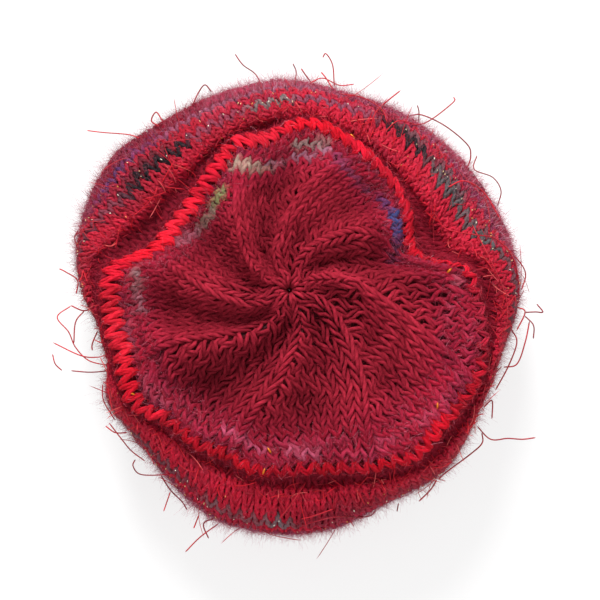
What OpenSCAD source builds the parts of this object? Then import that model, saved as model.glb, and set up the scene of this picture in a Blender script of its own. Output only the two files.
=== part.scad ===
// Slouchy hand-knitted beret, standing on its ribbed brim with the hollow kept open.
// +Z up; the origin is the centre of the head opening, in the plane of the brim's lower edge.
// Every yarn length that can be unravelled on its own is a separate closed shell.
// Neighbouring shells meet face to face along a knitted round.

/* [Head opening] */
// Radius of the head opening, relaxed (mm)
opening_r = 84; // [76:0.5:92]
// Height of the ribbed band above the cast-on edge (mm)
rib_h = 24; // [16:1:32]
// Height of the cast-on edge (mm)
cast_on_h = 4; // [3:0.5:5]
// Number of ribs around the brim
rib_count = 44; // [36:2:48]

/* [Fabric] */
// Thickness of the knitted fabric (mm)
fabric_t = 4.4; // [3:0.1:5.5]
// Thickness of the yarn (mm)
yarn_d = 2.4; // [1.8:0.1:3]
// Thickness of one eyelash filament (mm)
filament_d = 0.6; // [0.5:0.1:0.8]

/* [Shape] */
// Size of the slouchy body, 1 = as knitted
slouch = 1; // [0.95:0.01:1.05]
// Height of the crown's top above the opening (mm)
crown_z = 82; // [76:1:88]
// Height of the fullest part of the rim (mm)
rim_z = 43; // [40:1:46]
// How far the slouch sags below the fullest part (mm)
sag = 16; // [12:1:17]
// Depth of the soft valley behind the bright red round (mm)
valley_depth = 9; // [4:1:10]
// Depth of the swirl's hollows between the eight arms (mm)
swirl_depth = 1.6; // [0:0.2:2.5]

/* [Hidden] */

NA = 60;                 // segments around every soft band
brim_top = cast_on_h + rib_h;
brim_ro = opening_r + 5.5;

// Radius every 10 degrees of the rim, of the bright red round and of the crest beyond the
// valley. The upper side is pushed in, so the crown folds over at 12, 166 and 218 degrees.
rim_tab = [137,137,135,132,130,128,127,126,126,126,126,127,128,129,131,132,131,127,
           123,117,118,124,127,131,136,139,141,142,143,143,143,141,138,134,133,134];
red_tab = [113,105,81,84,89,90,93,95,98,98,96,93,89,85,80,78,82,110,
           114,108,109,111,113,102,105,106,106,107,109,115,120,127,126,122,120,117];
crest_tab = [125,118,103,97,98,100,103,105,106,107,106,102,100,97,97,98,108,122,
             120,115,116,121,124,119,118,117,117,117,119,125,131,135,134,130,128,127];

// Periodic Catmull-Rom through a table of 36 values
function tab(T, a) = let (x = ((a % 360) + 360) % 360 / 10, i = floor(x), f = x - i,
    p0 = T[(i + 35) % 36], p1 = T[i % 36], p2 = T[(i + 1) % 36], p3 = T[(i + 2) % 36])
  p1 + 0.5 * f * (p2 - p0 + f * (2 * p0 - 5 * p1 + 4 * p2 - p3 + f * (3 * (p1 - p2) + p3 - p0)));

function rim(a) = slouch * tab(rim_tab, a);
function red(a) = slouch * tab(red_tab, a);
function crest(a) = slouch * min(tab(crest_tab, a), tab(rim_tab, a) - 2);

// The swirl: eight hollows that turn clockwise on their way out
function swirl(a, r) = -swirl_depth * (0.5 + 0.5 * cos(8 * (a - 22 + 28 * ln(max(r, 6) / 42))));

// A point on the outer ellipse of the rim; t = 0 at the crest, 90 at the fullest part
function roll(a) = 17 * cos(a - 110);
function on_rim(a, t) = [crest(a) + (rim(a) - crest(a)) * sin(t), rim_z + (t < 90 ? crown_z - 15 - rim_z : sag) * cos(t)];

// Outer profile [radius, height] at station k of the meridian, from the centre outwards
function prof(k, a) =
  k == 0 ? [4, crown_z - 4] :
  k == 1 ? [0.22 * red(a), crown_z - 1.5 + swirl(a, 0.22 * red(a))] :
  k == 2 ? [0.45 * red(a), crown_z + swirl(a, 0.45 * red(a))] :
  k == 3 ? [0.64 * red(a), crown_z - 0.5 + swirl(a, 0.64 * red(a))] :
  k == 4 ? [0.80 * red(a), crown_z - 2 + 0.5 * swirl(a, 0.8 * red(a))] :
  k == 5 ? [0.94 * red(a), crown_z - 5] :
  k == 6 ? [1.00 * red(a) + 1.5, crown_z - 9.5] :
  k == 7 ? [(red(a) + 1.5 + crest(a)) / 2, crown_z - 12 - valley_depth * min(1, (crest(a) - red(a)) / 14)] :
  k == 8 ? on_rim(a, 0) :
  k == 9 ? on_rim(a, 40 - roll(a)) :
  k == 10 ? on_rim(a, 56 - roll(a)) :
  k == 11 ? on_rim(a, 74 - roll(a)) :
  k == 12 ? on_rim(a, 88 - roll(a) / 2) :
  k == 13 ? on_rim(a, 132) :
  k == 14 ? [brim_ro + 0.58 * (rim(a) - brim_ro), rim_z - sag] :
  k == 15 ? [brim_ro + 0.24 * (rim(a) - brim_ro), rim_z - sag] :
            [brim_ro, brim_top];
LAST = 16;

// Inner profile: the outer one moved in by the fabric's thickness, square to the meridian
function inner(k, a) = k == 0 ? [4, crown_z - 4 - fabric_t] :
  k == LAST ? [opening_r + 0.6, brim_top] :
  let (p = prof(k, a), u = prof(k - 1, a), v = prof(k + 1, a), d = v - u, n = norm(d))
  p + fabric_t * [d[1], -d[0]] / n;

function at(rz, a) = [rz[0] * cos(a), rz[0] * sin(a), rz[1]];

// One knitted band: a closed shell from station k0 to station k1
module band(k0, k1) {
  m = k1 - k0;
  pts = concat(
    [for (k = [k0:k1]) for (i = [0:NA - 1]) at(prof(k, i * 360 / NA), i * 360 / NA)],
    [for (k = [k0:k1]) for (i = [0:NA - 1]) at(inner(k, i * 360 / NA), i * 360 / NA)]);
  W = (m + 1) * NA;
  function o(k, i) = k * NA + i % NA;
  function q(k, i) = W + k * NA + i % NA;
  polyhedron(points = pts, convexity = 6, faces = concat(
    [for (k = [0:m - 1]) for (i = [0:NA - 1]) each [[o(k, i), o(k, i + 1), o(k + 1, i + 1)], [o(k, i), o(k + 1, i + 1), o(k + 1, i)]]],
    [for (k = [0:m - 1]) for (i = [0:NA - 1]) each [[q(k, i), q(k + 1, i + 1), q(k, i + 1)], [q(k, i), q(k + 1, i), q(k + 1, i + 1)]]],
    [for (i = [0:NA - 1]) each [[o(0, i), q(0, i), q(0, i + 1)], [o(0, i), q(0, i + 1), o(0, i + 1)]]],
    [for (i = [0:NA - 1]) each [[o(m, i), q(m, i + 1), q(m, i)], [o(m, i), o(m, i + 1), q(m, i + 1)]]]));
}

// A round tube through a list of points
module tube(path, d, sides = 6) {
  n = len(path);
  function dir(i) = let (v = path[min(i + 1, n - 1)] - path[max(i - 1, 0)]) v / norm(v);
  function side(i) = let (t = dir(i), s = cross(t, [0.3, 0.2, 0.93])) s / norm(s);
  function ring(i) = let (t = dir(i), s = side(i), c = cross(t, s))
    [for (j = [0:sides - 1]) path[i] + d / 2 * (cos(j * 360 / sides) * s + sin(j * 360 / sides) * c)];
  pts = [for (i = [0:n - 1]) each ring(i)];
  polyhedron(points = pts, convexity = 4, faces = concat(
    [for (i = [0:n - 2]) for (j = [0:sides - 1]) each
      [[i * sides + j, (i + 1) * sides + (j + 1) % sides, i * sides + (j + 1) % sides],
       [i * sides + j, (i + 1) * sides + j, (i + 1) * sides + (j + 1) % sides]]],
    [[for (j = [0:sides - 1]) j]],
    [[for (j = [sides - 1:-1:0]) (n - 1) * sides + j]]));
}

module cast_on_edge() {
  color([0.45, 0.07, 0.14])
  rotate_extrude($fn = 96)
    union() {
      translate([opening_r, 0]) square([4, cast_on_h]);
      translate([opening_r + 4, cast_on_h / 2]) circle(r = cast_on_h / 2, $fn = 32);
    }
}

module brim_rib_band() {
  color([0.50, 0.09, 0.16])
  translate([0, 0, cast_on_h])
  difference() {
    linear_extrude(height = rib_h)
      polygon([for (i = [0:rib_count * 6 - 1]) let (a = i * 60 / rib_count, r = brim_ro - 0.9 + 0.9 * cos(i * 60))
        [r * cos(a), r * sin(a)]]);
    translate([0, 0, -1]) cylinder(r = opening_r, h = rib_h + 2, $fn = 96);
  }
}

module increase_round_band() { color([0.62, 0.11, 0.20]) band(15, 16); }
module underside_mauve_band() { color([0.60, 0.17, 0.30]) band(14, 15); }
module underside_crimson_band() { color([0.64, 0.10, 0.20]) band(13, 14); }
module rim_mohair_band() { color([0.48, 0.09, 0.15]) band(12, 13); }
module heather_band() { color([0.52, 0.20, 0.34]) band(11, 12); }
module flecked_crimson_band() { color([0.66, 0.10, 0.20]) band(10, 11); }
module variegated_stripe() { color([0.17, 0.18, 0.20]) band(9, 10); }
module eyelash_band() { color([0.70, 0.09, 0.16]) band(8, 9); }
module valley_mohair_band() { color([0.34, 0.05, 0.09]) band(6, 8); }
module bright_red_band() { color([0.85, 0.09, 0.17]) band(5, 6); }
module mauve_band() { color([0.60, 0.15, 0.25]) band(4, 5); }
module crown_swirl() { color([0.50, 0.08, 0.14]) band(0, 4); }

// The last eight loops, drawn together by the end of the crown's own yarn
module crown_closing_ring() {
  color([0.42, 0.06, 0.11])
  translate([0, 0, crown_z - 4 - fabric_t])
    rotate_extrude($fn = 48) translate([1, 0]) square([3, fabric_t]);
}

// Loose eyelash filaments: [angle, reach beyond the crest, sideways drift, lift]
filaments = [[8, 34, 14, 4], [24, 40, -16, 2], [38, 46, 12, -4], [52, 44, -10, 0], [70, 42, 14, 2],
             [84, 38, -12, 4], [98, 40, 10, 0], [113, 46, -12, 2], [128, 40, 14, -2], [144, 46, 12, 0],
             [170, 24, -14, 2], [184, 26, 16, -4], [196, 26, -12, 0], [208, 24, 10, 2], [222, 26, -14, -4],
             [240, 30, 12, 0], [258, 36, -12, -4], [276, 34, 12, -6], [300, 22, -12, -4], [322, 26, 14, 0], [342, 30, -10, 2]];
module eyelash_filaments() {
  color([0.78, 0.08, 0.14])
  for (f = filaments)
    tube([for (s = [0:5]) let (u = s / 5, a = f[0] + f[2] * u * u * 0.5, p = on_rim(f[0], 20))
      at([p[0] + 1.5 + f[1] * u, p[1] + 1.5 + 5 * sin(180 * u) + f[3] * u], a)], filament_d);
}

// Yarn ends skimmed in along the inside at each change of yarn, at the start of the rounds
ends = [[2.6, 262], [5, 275], [6, 258], [8.2, 280], [9, 262], [11, 282], [13, 264], [14, 278]];
module woven_in_ends() {
  color([0.55, 0.09, 0.17])
  for (e = ends)
    tube([for (s = [0:5]) let (a = e[1] + (s - 2.5) * 3, k = floor(e[0]), f = e[0] - k,
        o = prof(k, a) * (1 - f) + prof(k + 1, a) * f, i = inner(k, a) * (1 - f) + inner(k + 1, a) * f)
      at(i + (i - o) / norm(i - o) * (yarn_d / 2 + 0.5), a)], yarn_d);
}

cast_on_edge();
brim_rib_band();
increase_round_band();
underside_mauve_band();
underside_crimson_band();
rim_mohair_band();
heather_band();
flecked_crimson_band();
variegated_stripe();
eyelash_band();
valley_mohair_band();
bright_red_band();
mauve_band();
crown_swirl();
crown_closing_ring();
eyelash_filaments();
woven_in_ends();
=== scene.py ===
import math
import bpy
import numpy as np
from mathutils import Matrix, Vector


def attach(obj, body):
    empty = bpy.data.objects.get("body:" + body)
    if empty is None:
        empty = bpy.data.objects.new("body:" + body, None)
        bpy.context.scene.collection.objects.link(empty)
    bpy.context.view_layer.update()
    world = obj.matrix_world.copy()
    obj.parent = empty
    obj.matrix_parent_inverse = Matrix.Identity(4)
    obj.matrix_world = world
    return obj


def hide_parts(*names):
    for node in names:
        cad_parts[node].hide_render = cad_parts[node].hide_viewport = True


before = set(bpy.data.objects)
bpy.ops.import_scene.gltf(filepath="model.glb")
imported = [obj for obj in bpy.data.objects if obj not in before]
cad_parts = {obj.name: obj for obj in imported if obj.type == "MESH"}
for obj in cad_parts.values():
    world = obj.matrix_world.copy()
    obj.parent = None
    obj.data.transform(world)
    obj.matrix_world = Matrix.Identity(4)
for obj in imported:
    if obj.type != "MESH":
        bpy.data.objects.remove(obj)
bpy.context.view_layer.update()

MM = 0.001
TAU = 2 * math.pi
rng = np.random.default_rng(20)

# ------------------------------------------------------------------ helpers
def lin(rgb):
    """sRGB 0..255 to linear, as an array."""
    c = np.asarray(rgb, float) / 255.0
    return np.where(c <= 0.04045, c / 12.92, ((c + 0.055) / 1.055) ** 2.4)


def smooth(x, a, b):
    t = np.clip((x - a) / (b - a), 0, 1)
    return t * t * (3 - 2 * t)


def periodic(points, step=0.5, soft=1.2):
    """A closed table {degrees: value} as values every step degrees, lightly softened."""
    k = sorted(points)
    x = np.array([k[-1] - 360] + k + [k[0] + 360], float)
    y = np.array([points[k[-1]]] + [points[i] for i in k] + [points[k[0]]], float)
    a = np.arange(0, 360, step)
    v = np.interp(a, x, y)
    if soft > 0:
        n = len(v)
        f = np.exp(-0.5 * (np.minimum(np.arange(n), n - np.arange(n)) * step / soft) ** 2)
        v = np.real(np.fft.ifft(np.fft.fft(v) * np.fft.fft(f / f.sum())))
    return v


def wrap(d):
    return (d + 180) % 360 - 180


def bump1(a, centre, width):
    return np.exp(-0.5 * (wrap(a - centre) / width) ** 2)


# ------------------------------------------------------------------ sizes (mm)
CROWN_Z, RIM_Z, SAG, VALLEY, BRIM_TOP, BRIM_RO, OPEN_R = 82.0, 43.0, 16.0, 5.0, 28.0, 89.5, 84.0
STEP = 0.5
ANG = np.arange(0, 360, STEP)
NA = len(ANG)

ring_red = {2: 106, 7: 103, 10: 91, 13: 79, 17: 75, 24: 75, 32: 81, 41: 85, 56: 89, 72: 95, 81: 99, 88: 97, 98: 89, 109: 91, 114: 88, 121: 82,
            129: 77, 140: 75, 154: 76, 162: 80, 166: 86, 170: 96, 174: 102, 179: 104, 200: 103, 208: 106, 214: 110, 219: 109, 225: 103, 240: 103,
            248: 101, 258: 106, 276: 103, 287: 107, 298: 114, 307: 120, 318: 117, 337: 120, 347: 115}
ring_crest = {0: 125, 5: 122, 10: 117, 15.9: 104, 20: 102, 24.3: 98.5, 35.7: 97.5, 50: 99, 62: 102, 75: 105.5, 90: 107.5, 105: 105,
              115: 101.5, 124: 99, 129: 97, 141: 97.5, 149: 98, 158: 107, 164: 114.5, 168.4: 121, 172: 124, 178: 122, 190: 118.5,
              198: 117.5, 210: 120, 220: 119, 230: 113, 240: 114.5, 255: 116.5, 270: 118, 285: 121, 300: 130.5, 312: 135, 320: 134,
              330: 131, 345: 129, 353: 127.5}
ring_rim = {0: 136, 15: 135, 30: 131, 45: 129, 60: 127, 75: 124, 90: 128, 105: 127, 120: 127, 130: 128, 140: 134, 150: 133, 165: 130, 175: 125,
            180: 121, 190: 112, 197: 110, 203: 114, 210: 126, 218: 123, 228: 125, 240: 132, 250: 140, 258: 141, 270: 142, 281: 141, 291: 136, 300: 135, 311: 139, 320: 134,
            330: 130, 345: 129}
stripe_t = {0: 60, 10: 40, 15: 24, 30: 26, 45: 32, 60: 38, 75: 30, 90: 23, 105: 18, 120: 19, 135: 22, 150: 24, 160: 36, 170: 55, 180: 62, 195: 66,
            210: 66, 225: 56, 240: 42, 255: 50, 270: 52, 285: 52, 300: 58, 315: 64, 330: 66, 345: 64}
RHALF = periodic({0: 2.5, 20: 2.2, 55: 2.3, 85: 3.4, 105: 4.4, 120: 4.9, 160: 5.0, 175: 6.2, 205: 6.2, 215: 5.0, 224: 3.2, 260: 2.5, 290: 2.5, 305: 2.9, 320: 2.6, 345: 2.6}, STEP, 3.0)
RED = periodic(ring_red, STEP, 1.0)
RIM = periodic(ring_rim, STEP, 3.0)
CREST = np.minimum(0.971 * periodic(ring_crest, STEP, 1.6), RIM - 1.5)
CREST = np.maximum(CREST, RED + RHALF + 3.5 - 1.6 * bump1(ANG, 192, 18))
RIM = np.maximum(RIM, CREST + 1.5)
TF = periodic(stripe_t, STEP, 3.0)
# 1 where only one round of the bright red shows
ONE = periodic({0: 0.4, 12: 0.3, 20: 0.9, 55: 0.8, 70: 0.3, 95: 0.1, 108: 0, 215: 0, 225: 0.9, 290: 0.8, 300: 0.6, 345: 0.2}, STEP, 4.0)

# ------------------------------------------------------------------ crown relief
ARMS = np.array([3, 52, 92, 133, 185, 220, 272, 324], float)
HOLLOWS = [(22, 1.15), (61, 0.7), (106, 1.0), (153, 1.1), (206, 1.25), (248, 1.3), (295, 0.8), (333, 0.55)]


def arm_turn(r):
    """How far an arm has turned, in degrees, at r mm from the middle; it is 0 at 42 mm."""
    r = np.maximum(np.asarray(r, float), 2.0)
    a = -0.52 * np.log(np.maximum(r, 24) / 42)
    a = a + np.where(r < 24, 0.30 * np.log(24 / np.clip(r, 15, 24)), 0)
    a = a + np.where(r < 15, 0.10 * np.log(15 / r), 0)
    return np.degrees(a)


def relief(a, r):
    """Height of the swirl's ridges over its hollows, in mm."""
    base = a - arm_turn(r)
    h = np.zeros_like(base)
    for c, amp in HOLLOWS:
        h -= 7.2 * amp * bump1(base, c, 9.5)
    for c in ARMS:
        h += 3.6 * bump1(base, c, 6.0)
    env = smooth(r, 7, 26) * (1 - 0.75 * smooth(r, 70, 104))
    return h * env


def folds(a, r):
    """The larger soft folds of the fabric, in mm of height."""
    h = 5.0 * bump1(a, 8, 6) * smooth(r, 52, 90) * (1 - smooth(r, 112, 128))
    h += -5.0 * bump1(a, 21, 6) * smooth(r, 70, 92) * (1 - smooth(r, 104, 120))
    h += -4.5 * bump1(a, 160, 8) * smooth(r, 76, 96) * (1 - smooth(r, 112, 126))
    h += 3.5 * bump1(a, 174, 7) * smooth(r, 60, 95) * (1 - smooth(r, 112, 124))
    h += 2.5 * bump1(a, 315, 22) * smooth(r, 60, 110) * (1 - smooth(r, 122, 136))
    h += -2.2 * bump1(a, 248, 12) * smooth(r, 45, 75) * (1 - smooth(r, 92, 108))
    h += -2.0 * bump1(a, 221, 5) * smooth(r, 88, 102) * (1 - smooth(r, 110, 122))
    h += 1.6 * bump1(a, 200, 9) * smooth(r, 70, 100) * (1 - smooth(r, 108, 118))
    x, y = r * np.cos(np.radians(a)), r * np.sin(np.radians(a))
    for cx, cy, depth, size in DENTS:
        h -= depth * np.exp(-0.5 * ((x - cx) ** 2 + (y - cy) ** 2) / size**2)
    return h


DENTS = [(39, 56, 5.0, 10), (56, 24, 4.0, 8), (-16, 59, 3.6, 9), (-45, 26, 4.0, 8), (-57, 9, 2.6, 8), (-71, -11, 2.6, 8), (-47, -57, 4.5, 10),
         (5, -68, 3.4, 8), (58, -55, 4.4, 9), (67, 7, -2.4, 8), (8, 72, -2.4, 7), (-62, -28, -2.4, 8), (35, -72, -1.8, 9), (78, -30, -2.0, 9)]


# ------------------------------------------------------------------ one meridian per angle
def on_rim(t):
    t = np.radians(t + 0 * RIM)
    c, s = np.cos(t), np.sin(t)
    drop = np.where(c > 0, CROWN_Z - 15 - RIM_Z, SAG)
    return np.stack([CREST + (RIM - CREST) * s, RIM_Z + drop * c], -1)


def flat(r, z):
    return np.stack([r * np.ones(NA), z * np.ones(NA)], -1)


gap = np.clip((CREST - RED - RHALF) / 10.0, 0.25, 1)
RCEN = RED
mid_r = (RCEN + RHALF + CREST) / 2
S_LIST = [  # (name, station)
    ("hole", flat(0.7, CROWN_Z - 6.5)),
    ("c0", flat(6.5, CROWN_Z - 1.6)),
    ("c1", flat(0.22 * RED, CROWN_Z - 0.9)),
    ("c2", flat(0.45 * RED, CROWN_Z)),
    ("c3", flat(0.64 * RED, CROWN_Z - 0.5)),
    ("mauve0", flat(0.78 * RED, CROWN_Z - 1.8)),
    ("m1", flat(0.5 * (0.78 * RED + RCEN - RHALF), CROWN_Z - 3.2)),
    ("red0", flat(RCEN - RHALF, CROWN_Z - 5.0)),
    ("red1", flat(RCEN + RHALF + 0.5, CROWN_Z - 9.5)),
    ("v1", flat(RCEN + RHALF + 0.5 + 0.22 * (CREST - RCEN - RHALF), CROWN_Z - 14 - 0.6 * VALLEY * gap)),
    ("v2", flat(mid_r, CROWN_Z - 15 - VALLEY * gap)),
    ("v3", flat(CREST - 0.2 * (CREST - RED), CROWN_Z - 16.5 - 0.45 * VALLEY * gap)),
    ("top", on_rim(0)),
    ("stripe0", on_rim(np.maximum(TF - 6, 3))),
    ("stripe1", on_rim(TF + 6)),
    ("fleck1", on_rim(TF + 21)),
    ("heath1", on_rim(TF + 31)),
    ("out", on_rim(TF + 62)),
    ("rim1", on_rim(TF + 96)),
    ("u1", np.stack([BRIM_RO + 0.58 * (RIM - BRIM_RO), RIM_Z - SAG + 0 * RIM], -1)),
    ("u2", np.stack([BRIM_RO + 0.24 * (RIM - BRIM_RO), RIM_Z - SAG - 0.2 + 0 * RIM], -1)),
    ("u3", flat(BRIM_RO + 0.6, BRIM_TOP - 1.5)),
    ("rib1", flat(BRIM_RO - 0.6, 24.0)),
    ("rib2", flat(BRIM_RO - 0.9, 14.0)),
    ("rib3", flat(BRIM_RO - 0.9, 3.2)),
]
names = [n for n, _ in S_LIST]
ctrl = np.stack([s for _, s in S_LIST], 1)  # NA, K, 2
K = ctrl.shape[1]


def spline(c, sub):
    """Catmull-Rom through the stations, centripetal enough for uneven ones."""
    p0 = np.concatenate([2 * c[:, :1] - c[:, 1:2], c[:, :-1]], 1)[:, :-1]
    p1, p2 = c[:, :-1], c[:, 1:]
    p3 = np.concatenate([c[:, 2:], 2 * c[:, -1:] - c[:, -2:-1]], 1)
    d = lambda a, b: np.maximum(np.linalg.norm(b - a, axis=-1, keepdims=True), 0.3) ** 0.5
    d0, d1, d2 = d(p0, p1), d(p1, p2), d(p2, p3)
    m1 = d1 * ((p1 - p0) / d0 - (p2 - p0) / (d0 + d1) + (p2 - p1) / d1)
    m2 = d1 * ((p2 - p1) / d1 - (p3 - p1) / (d1 + d2) + (p3 - p2) / d2)
    t = np.linspace(0, 1, sub, endpoint=False)[None, None, :, None]
    p1, p2, m1, m2 = (x[:, :, None, :] for x in (p1, p2, m1, m2))
    q = (2 * t**3 - 3 * t**2 + 1) * p1 + (t**3 - 2 * t**2 + t) * m1 + (-2 * t**3 + 3 * t**2) * p2 + (t**3 - t**2) * m2
    q = q.reshape(c.shape[0], -1, 2)
    return np.concatenate([q, c[:, -1:]], 1)


SUB = 12
mer = spline(ctrl, SUB)  # NA, (K-1)*SUB+1, 2
at_station = {n: i * SUB for i, n in enumerate(names)}
arc = np.concatenate([np.zeros((NA, 1)), np.cumsum(np.linalg.norm(np.diff(mer, axis=1), axis=2), 1)], 1)

# rows of each band, from the middle of the crown to the brim: name, first station, last station, rows
BANDS = [
    ("crown_swirl", "c0", "mauve0", 13), ("mauve_band", "mauve0", "red0", 5), ("bright_red_band", "red0", "red1", 1),
    ("valley_mohair_band", "red1", "v3", 4), ("eyelash_band", "v3", "stripe0", 3), ("variegated_stripe", "stripe0", "stripe1", 1),
    ("flecked_crimson_band", "stripe1", "fleck1", 2), ("heather_band", "fleck1", "heath1", 1), ("rim_mohair_band", "heath1", "rim1", 6),
    ("underside_crimson_band", "rim1", "u1", 4), ("underside_mauve_band", "u1", "u2", 3), ("increase_round_band", "u2", "u3", 2),
    ("brim_rib_band", "u3", "rib3", 5),
]
VSUB = 6
cols, ROW0, v_at = [], {}, 0
for name, a, b, n in BANDS:
    ROW0[name] = v_at
    s0, s1 = arc[:, at_station[a]], arc[:, at_station[b]]
    if name == "eyelash_band":
        s0 = s0 + 0.0
    for k in range(n * VSUB):
        cols.append(s0 + (s1 - s0) * k / (n * VSUB))
    v_at += n
cols.append(arc[:, at_station["rib3"]])
# a little before the first row, for the loops that reach inwards
pre = [arc[:, at_station["c0"]] * k / VSUB for k in range(VSUB)]
cols = pre + cols
V0 = -1.0  # v of the grid's first line
SV = np.array(cols)  # NV, NA
NV = SV.shape[0]
# soften the row spacing so that it changes gradually from band to band
f = np.array([1, 2, 3, 2, 1], float) / 9
inner = SV.copy()
for _ in range(3):
    p = np.pad(inner, ((2, 2), (0, 0)), mode="reflect", reflect_type="odd")
    inner = sum(f[i] * p[i:i + NV] for i in range(5))
SV = inner
RG, ZG = np.zeros((NV, NA)), np.zeros((NV, NA))
for i in range(NA):
    RG[:, i] = np.interp(SV[:, i], arc[i], mer[i, :, 0])
    ZG[:, i] = np.interp(SV[:, i], arc[i], mer[i, :, 1])
vline = V0 + np.arange(NV) / VSUB
AG = np.broadcast_to(ANG, (NV, NA))
topmask = (1 - smooth(vline, ROW0["heather_band"], ROW0["rim_mohair_band"] + 2))[:, None]
ZG = ZG + (relief(AG, RG) * (1 - smooth(vline, ROW0["mauve_band"] + 1, ROW0["valley_mohair_band"]))[:, None] + folds(AG, RG)) * topmask
XY = np.stack([RG * np.cos(np.radians(AG)), RG * np.sin(np.radians(AG)), ZG], -1)  # NV, NA, 3

# ------------------------------------------------------------------ columns by the length of each round
NU = 1440
START = int(270 / STEP)
XYr = np.roll(XY, -START, 1)
AGr = 270 + np.arange(NA + 1) * STEP
closed = np.concatenate([XYr, XYr[:, :1]], 1)
seg = np.linalg.norm(np.diff(closed, axis=1), axis=2)
U = np.concatenate([np.zeros((NV, 1)), np.cumsum(seg, 1)], 1)
ROUND_MM = U[:, -1].copy()
U /= U[:, -1:]
ug = np.arange(NU) / NU
PU = np.zeros((NV, NU, 3))
for k in range(NV):
    for c in range(3):
        PU[k, :, c] = np.interp(ug, U[k], closed[k, :, c])


def soften(g, times=1):
    for _ in range(times):
        g = (np.roll(g, 1, 1) + 2 * g + np.roll(g, -1, 1)) / 4
        h = g.copy()
        h[1:-1] = (g[:-2] + 2 * g[1:-1] + g[2:]) / 4
        g = h
    return g


PU = soften(PU, 2)


def normals(g):
    du = np.roll(g, -1, 1) - np.roll(g, 1, 1)
    dv = np.gradient(g, axis=0)
    n = np.cross(dv, du)  # outwards: v runs from the crown to the brim, u runs anticlockwise
    n /= np.maximum(np.linalg.norm(n, axis=2, keepdims=True), 1e-9)
    return soften(n, 2)


NG = normals(PU)
NG /= np.linalg.norm(NG, axis=2, keepdims=True)
if NG[10 * VSUB, :, 2].mean() < 0:
    NG = -NG
PU = PU - 2.2 * NG  # the middle of the fabric
PU[:, :, :] = soften(PU, 1)


def grid(g, v, u):
    x = np.clip((np.asarray(v) - V0) * VSUB, 0, NV - 1.001)
    y = (np.asarray(u) % 1.0) * NU
    i, j = x.astype(int), y.astype(int) % NU
    fx, fy = (x - i)[..., None], (y - np.floor(y))[..., None]
    j2 = (j + 1) % NU
    return (g[i, j] * (1 - fx) + g[i + 1, j] * fx) * (1 - fy) + (g[i, j2] * (1 - fx) + g[i + 1, j2] * fx) * fy


def surf(v, u):
    """The fabric's middle (mm) and its outward normal."""
    n = grid(NG, v, u)
    n /= np.maximum(np.linalg.norm(n, axis=-1, keepdims=True), 1e-9)
    return grid(PU, v, u), n


# where the eight arms cross each line of the grid, in u
ANCH = np.zeros((NV, 9))
for k in range(NV):
    th = np.degrees(np.arctan2(PU[k, :, 1], PU[k, :, 0]))
    th = np.degrees(np.unwrap(np.radians(th)))
    r = np.hypot(PU[k, :, 0], PU[k, :, 1])
    base = th - arm_turn(r)
    for i, a in enumerate(ARMS):
        d = wrap(base - a)
        j = np.nonzero((d <= 0) & (np.roll(d, -1) > 0) & (np.abs(d) < 20))[0]
        if len(j) == 0:
            ANCH[k, i] = ANCH[k - 1, i] if k else i / 8
        else:
            j = j[0]
            e = -d[j] / max(d[(j + 1) % NU] - d[j], 1e-9)
            ANCH[k, i] = ((j + e) / NU)
for i in range(8):
    ANCH[:, i] = np.unwrap(ANCH[:, i] * TAU) / TAU
order = np.argsort(ANCH[20, :8] % 1.0)
A8 = ANCH[:, order]
A8 = A8 - np.floor(A8[20])[None, :]
w_even = (0.75 * smooth(vline, 7, ROW0["bright_red_band"] + 1)
          + 0.25 * smooth(vline, ROW0["valley_mohair_band"] + 1, ROW0["eyelash_band"] + 1))[:, None]
# the turn of the arms stops where the decreases do
kf = int((ROW0["bright_red_band"] - V0) * VSUB)
hold = A8.copy()
hold[kf:] = A8[kf]
hold_rel = hold.mean(1, keepdims=True)
even = hold_rel + (np.arange(8) - 3.5)[None, :] / 8
A8 = hold * (1 - w_even) + even * w_even
ANCH = np.concatenate([A8, A8[:, :1] + 1], 1)


def anchors(v):
    x = np.clip((np.asarray(v, float) - V0) * VSUB, 0, NV - 1.001)
    i = x.astype(int)
    f = (x - i)[..., None]
    return ANCH[i] * (1 - f) + ANCH[i + 1] * f


NW = {0: 1}
for m in range(1, 60):
    NW[m] = int(round(1 + 0.62 * m)) if m < 13 else ([9, 9, 10, 10, 11][m - 13] if m < 18 else 11)
nw_line = np.array([NW[m] for m in range(60)], float)


def n_wedge(v):
    """Stitches in a wedge at v, changing evenly between rounds."""
    return np.interp(np.asarray(v) - 0.5, np.arange(60), nw_line)


# ------------------------------------------------------------------ meshes
def attr(me, name, kind, values, domain="POINT"):
    a = me.attributes.new(name, kind, domain)
    key = {"FLOAT_COLOR": "color", "FLOAT_VECTOR": "vector", "FLOAT": "value"}[kind]
    a.data.foreach_set(key, np.ascontiguousarray(values, np.float32).ravel())


def mesh(name, verts_mm, quads, col, yarn=None, smooth_shade=True):
    """A piece from points in mm, faces of four corners, a colour per point, and the yarn's own coordinates."""
    me = bpy.data.meshes.new(name)
    v = np.ascontiguousarray(verts_mm * MM, np.float32)
    q = np.ascontiguousarray(quads, np.int32)
    me.vertices.add(len(v))
    me.vertices.foreach_set("co", v.ravel())
    me.loops.add(q.size)
    me.loops.foreach_set("vertex_index", q.ravel())
    me.polygons.add(len(q))
    me.polygons.foreach_set("loop_start", np.arange(0, q.size, q.shape[1], dtype=np.int32))
    me.polygons.foreach_set("loop_total", np.full(len(q), q.shape[1], np.int32))
    me.polygons.foreach_set("use_smooth", np.full(len(q), smooth_shade, bool))
    me.update(calc_edges=True)
    me.validate()
    c4 = np.concatenate([np.clip(col, 0, 1), np.ones((len(v), 1))], 1)
    attr(me, "col", "FLOAT_COLOR", c4)
    if yarn is not None:
        attr(me, "yarn", "FLOAT_VECTOR", yarn)
    o = bpy.data.objects.new(name, me)
    bpy.context.scene.collection.objects.link(o)
    return o


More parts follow.
